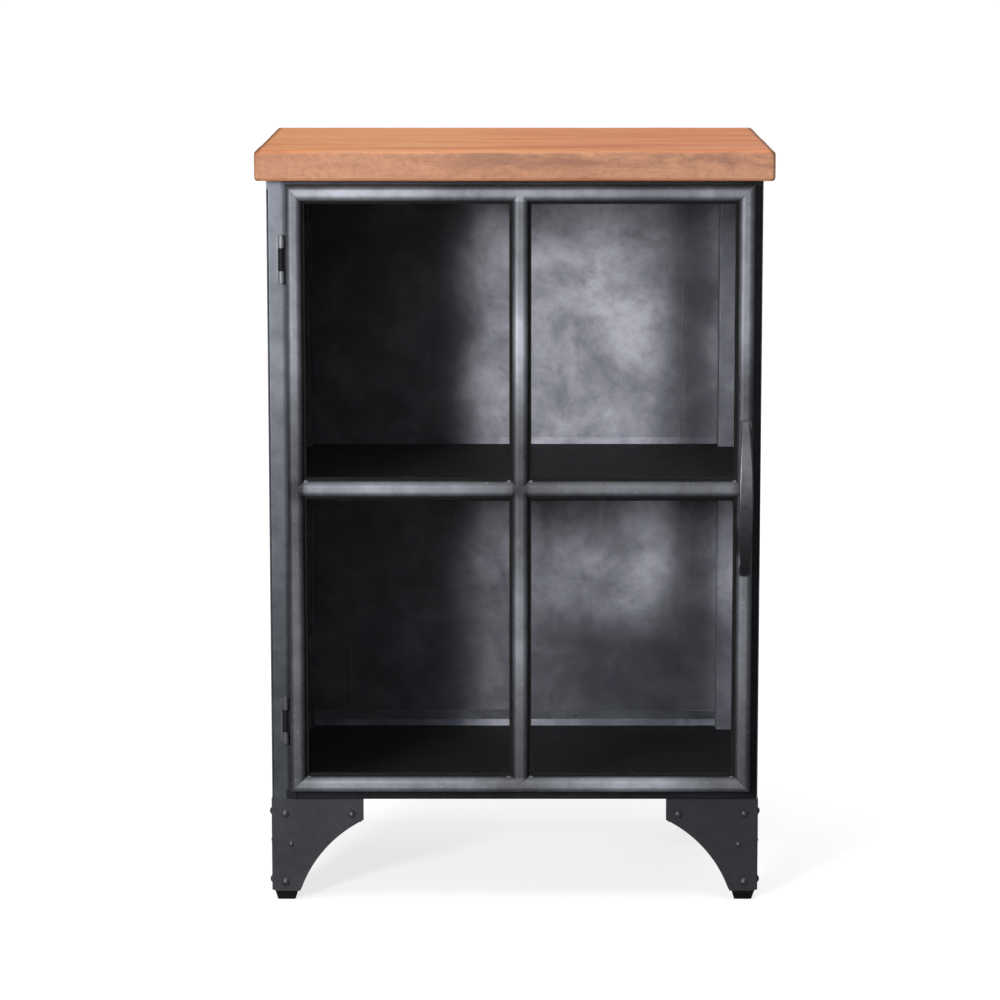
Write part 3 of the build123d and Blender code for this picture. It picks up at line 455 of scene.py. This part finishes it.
def foot_shade(g):
    """Painted light and shade: the front wings are darker than the side wings, and darkest on the latch side.
    """
    front = g.span(g.part(g.facing, "Y"), -0.5, -0.9)
    return g.fade(front, 1.5, g.span(g.part(g.place, "X"), -0.12, 0.20, 0.90, 0.60))


def panel_shade(g):
    """Painted light: the inner faces of the side panels are lighter than the outer ones."""
    outward = g.math("MULTIPLY", g.part(g.facing, "X"), g.part(g.place, "X"))
    return g.fade(g.span(outward, -0.05, -0.20), 1.0, 2.6)


# Painted highlight: how bright a bar is by how squarely its face looks forward.
bar_nose_highlight = ((0.0, 0.36), (0.5, 0.44), (0.80, 0.56), (0.90, 0.68), (0.97, 0.82), (0.995, 0.95), (1.0, 1.02))
# Painted shade, darker downwards: low height, high height, and how bright the steel is at the low one.
body_painted_shade = (0.16, 0.70, 0.42)
door_painted_shade = (0.16, 0.70, 0.62)
pull_painted_shade = (0.345, 0.45, 0.25)
looks = {
    "top_wood": wood(),
    "frame_steel": gunmetal("frame_steel_blackened", (0.13, 0.14, 0.165), (0.25, 0.265, 0.30), fade=body_painted_shade,
                            shade=frame_shade),
    "sheet_steel": gunmetal("sheet_steel_blackened", (0.054, 0.057, 0.074), (0.084, 0.088, 0.110), along="y",
                            metallic=0.3, rough=(0.42, 0.6), wear=0.1, shade=panel_shade),
    "shelf_steel": gunmetal("shelf_steel_black", (0.006, 0.0063, 0.0072), (0.012, 0.0125, 0.014), along="x",
                            metallic=0.1, rough=(0.6, 0.75), wear=0.05, upstand=shelf_back - 4 * MM,
                            specular=0.12),
    "patina_steel": patina(),
    "door_steel": gunmetal("door_steel_painted_highlight", (0.295, 0.308, 0.352), (0.49, 0.507, 0.57), crest=bar_nose_highlight,
                           fade=door_painted_shade, metallic=0.55, rough=(0.46, 0.60), shade=door_shade),
    "pull_steel": gunmetal("pull_steel_dark", (0.10, 0.105, 0.118), (0.19, 0.195, 0.215), rough=(0.34, 0.5),
                           cloud=20, fade=pull_painted_shade),
    "foot_steel": gunmetal("foot_steel_charcoal", (0.033, 0.0337, 0.0415), (0.056, 0.0575, 0.070),
                           metallic=0.25, rough=(0.45, 0.62), wear=0.12, cloud=12, shade=foot_shade),
    "rivet_steel": gunmetal("rivet_steel_dark", (0.05, 0.054, 0.06), (0.10, 0.105, 0.115), metallic=0.6,
                            rough=(0.36, 0.5), cloud=60),
    "bright_steel": gunmetal("bright_steel_satin", (0.17, 0.175, 0.195), (0.30, 0.31, 0.34), metallic=0.6,
                             rough=(0.46, 0.60), fade=body_painted_shade, cloud=30),
    "hinge_black": gunmetal("hinge_black_satin", (0.005, 0.005, 0.006), (0.010, 0.010, 0.012), metallic=0.0,
                            rough=(0.55, 0.7), wear=0.05, cloud=40, specular=0.2),
    "clear_glass": glass(),
    "black_rubber": rubber(),
    "catch_plastic": plastic(),
    "zinc_screws": gunmetal("zinc_screws_satin", (0.36, 0.37, 0.38), (0.58, 0.59, 0.60), rough=(0.25, 0.4),
                            cloud=60),
}
for subpart in frame["record"]["subparts"]:
    for place in nodes[subpart["node"]].material_slots:
        place.material = looks[subpart["material_slot"]]


def add_piece(name, mesh, body, slot_name, *replaced):
    """Make an object of a mesh, in its finish, riding on a body and standing for CAD nodes."""
    piece = bpy.data.objects.new(name, mesh)
    scene.collection.objects.link(piece)
    mesh.materials.append(looks[slot_name])
    for polygon in mesh.polygons:
        polygon.use_smooth = True
    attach(piece, body)
    if replaced:
        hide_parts(*replaced)


# ------------------------------------------------------------------ wood top
def grid_steps(low, high, margin, fine, coarse):
    """Positions from low to high, close together near both ends."""
    near = [low + margin * i / fine for i in range(fine)]
    count = max(2, round((high - low - 2 * margin) / coarse))
    middle = [low + margin + (high - low - 2 * margin) * i / count for i in range(count + 1)]
    far = [high - margin * (fine - 1 - i) / fine for i in range(fine)]
    return near + middle + far


def make_top():
    """The slab with hand-eased arrises: their radius and the flat faces wander a little."""
    low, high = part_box("wood_top")
    margin = 7 * MM
    coarse = 8 * MM
    fine_steps = 9
    arris = 3.9
    steps = [grid_steps(low[i], high[i], margin, fine_steps, coarse) for i in range(3)]
    mesh = bmesh.new()
    for axis in range(3):
        u, v = [i for i in range(3) if i != axis]
        for end in (low[axis], high[axis]):
            rows = []
            for a in steps[u]:
                row = []
                for b in steps[v]:
                    place = Vector((0, 0, 0))
                    place[axis], place[u], place[v] = end, a, b
                    row.append(mesh.verts.new(place))
                rows.append(row)
            for i in range(len(rows) - 1):
                for j in range(len(rows[0]) - 1):
                    mesh.faces.new((rows[i][j], rows[i + 1][j], rows[i + 1][j + 1], rows[i][j + 1]))
    bmesh.ops.remove_doubles(mesh, verts=mesh.verts, dist=0.01 * MM)
    bmesh.ops.recalc_face_normals(mesh, faces=mesh.faces)
    for vertex in mesh.verts:
        place = vertex.co.copy()
        wander = noise.noise(place * 24) * 1.1 + noise.noise(place * 90) * 0.45
        radius = (arris + wander) * MM
        core = Vector(min(max(place[i], low[i] + radius), high[i] - radius) for i in range(3))
        out = place - core
        if out.length > 0:
            dip = 0.12 * MM * (0.5 + 0.5 * noise.noise(place * 60))
            vertex.co = core + out.normalized() * (radius - dip)
    data = bpy.data.meshes.new("wood_top_worn")
    mesh.to_mesh(data)
    mesh.free()
    add_piece("wood_top_worn", data, "cabinet", "top_wood", "wood_top")


make_top()


# ------------------------------------------------------------------ welds
def bead(mesh, start, end, radius, seed):
    """A weld bead: a lumpy rounded rope from start to end."""
    sides = 10
    direction = (end - start).normalized()
    side = direction.orthogonal().normalized()
    other = direction.cross(side)
    count = max(4, round((end - start).length / (0.7 * MM)))
    rings = []
    for i in range(count + 1):
        t = i / count
        cap = math.sqrt(max(0.02, 1 - (2 * t - 1) ** 6))
        lump = 1 + 0.16 * math.sin(i * 2.1 + seed) + 0.2 * noise.noise(Vector((i * 0.37, seed, 0)))
        centre = start.lerp(end, t)
        ring = []
        for k in range(sides):
            a = k * math.tau / sides
            out = side * math.cos(a) + other * math.sin(a)
            ring.append(mesh.verts.new(centre + out * radius * cap * lump))
        rings.append(ring)
    for first, second in zip(rings, rings[1:]):
        for k in range(sides):
            after = (k + 1) % sides
            mesh.faces.new((first[k], first[after], second[after], second[k]))
    mesh.faces.new(rings[0][::-1])
    mesh.faces.new(rings[-1])


def make_door_welds():
    """Short beads on the upper edge of each level bar, where it was welded to the uprights."""
    mesh = bmesh.new()
    bead_radius = 2.0 * MM
    door_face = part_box("door_mullion")[0].y
    seed = 0
    for name in ("upper_left", "upper_right", "lower_left", "lower_right"):
        low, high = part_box("gasket_" + name)
        for x, sx in ((low.x, 1), (high.x, -1)):
            seed += 1
            wander = noise.noise(Vector((seed, 0.5, 0)))
            near = x + sx * (0.4 + 0.6 * wander) * MM
            far = near + sx * (5.0 + 1.2 * wander) * MM
            start = Vector((near, door_face + 4.2 * MM, low.z - 0.3 * MM))
            end = Vector((far, door_face + 3.6 * MM, low.z - 1.2 * MM))
            bead(mesh, start, end, bead_radius, seed)
    data = bpy.data.meshes.new("door_corner_welds")
    mesh.to_mesh(data)
    mesh.free()
    add_piece("door_corner_welds", data, "door", "bright_steel")


make_door_welds()


# ------------------------------------------------------------------ camera, lights, floor
def make_camera():
    """At the front, a little above the cabinet's middle, looking slightly down."""
    pitch = math.radians(9.083)
    distance = 3.8
    aim_below_top = 0.3484
    centre_x = (cad_low.x + cad_high.x) / 2
    top_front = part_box("wood_top")[0].y
    aim = Vector((centre_x, top_front, cad_high.z - aim_below_top))
    data = bpy.data.cameras.new("camera")
    data.sensor_width = 36
    data.lens = 136.8
    data.shift_x = -0.0148
    data.dof.use_dof = False
    camera = bpy.data.objects.new("camera", data)
    scene.collection.objects.link(camera)
    camera.location = aim + Vector((0, -math.cos(pitch), math.sin(pitch))) * distance
    camera.rotation_euler = (math.pi / 2 - pitch, 0, 0)
    scene.camera = camera


def softbox(name, azimuth, elevation, distance, size, power):
    """A rectangular light aimed at the cabinet; azimuth 0 is in front, positive to the right."""
    aim = Vector((0, 0, 0.4))
    data = bpy.data.lights.new(name, "AREA")
    data.shape = "RECTANGLE"
    data.size, data.size_y = size
    data.energy = power
    light = bpy.data.objects.new(name, data)
    scene.collection.objects.link(light)
    a = math.radians(azimuth)
    e = math.radians(elevation)
    towards = Vector((math.sin(a) * math.cos(e), -math.cos(a) * math.cos(e), math.sin(e)))
    light.location = aim + towards * distance
    light.rotation_euler = towards.to_track_quat("Z", "Y").to_euler()


def make_floor():
    """A wide pale sheet, near white to the camera and grey to the light that it throws back."""
    data = bpy.data.meshes.new("floor")
    half = 60
    corners = [(-half, -half, 0), (half, -half, 0), (half, half, 0), (-half, half, 0)]
    data.from_pydata(corners, [], [(0, 1, 2, 3)])
    floor = bpy.data.objects.new("floor", data)
    scene.collection.objects.link(floor)
    g = Graph("floor_pale", specular_ior_level=0.0, emission_color=(1, 1, 1, 1))
    seen = g.node("LightPath", "Is Camera Ray")
    g.finish(g.mix(seen, (0.22, 0.22, 0.22), (0.40, 0.40, 0.40)), 0.9)
    g.feed(g.shader.inputs["Emission Strength"], g.math("MULTIPLY", seen, 0.76))
    data.materials.append(g.material)


make_camera()
make_floor()
world = bpy.data.worlds.new("studio")
scene.world = world
world.use_nodes = True
background = world.node_tree.nodes["Background"]
background.inputs["Color"].default_value = (0.95, 0.97, 1.0, 1)
background.inputs["Strength"].default_value = 0.16
softbox("key", -26, 13, 3.4, (0.45, 0.6), 80)
softbox("front_fill", 6, 24, 4.2, (1.6, 1.2), 9)
softbox("rear_fill", 160, 35, 4.0, (2.5, 2.0), 35)
sun_data = bpy.data.lights.new("overhead", "SUN")
sun_data.energy = 1.6
sun_data.angle = math.radians(40)
sun = bpy.data.objects.new("overhead", sun_data)
scene.collection.objects.link(sun)
sun.rotation_euler = (math.radians(12), math.radians(-8), 0)

scene.view_settings.view_transform = "Standard"
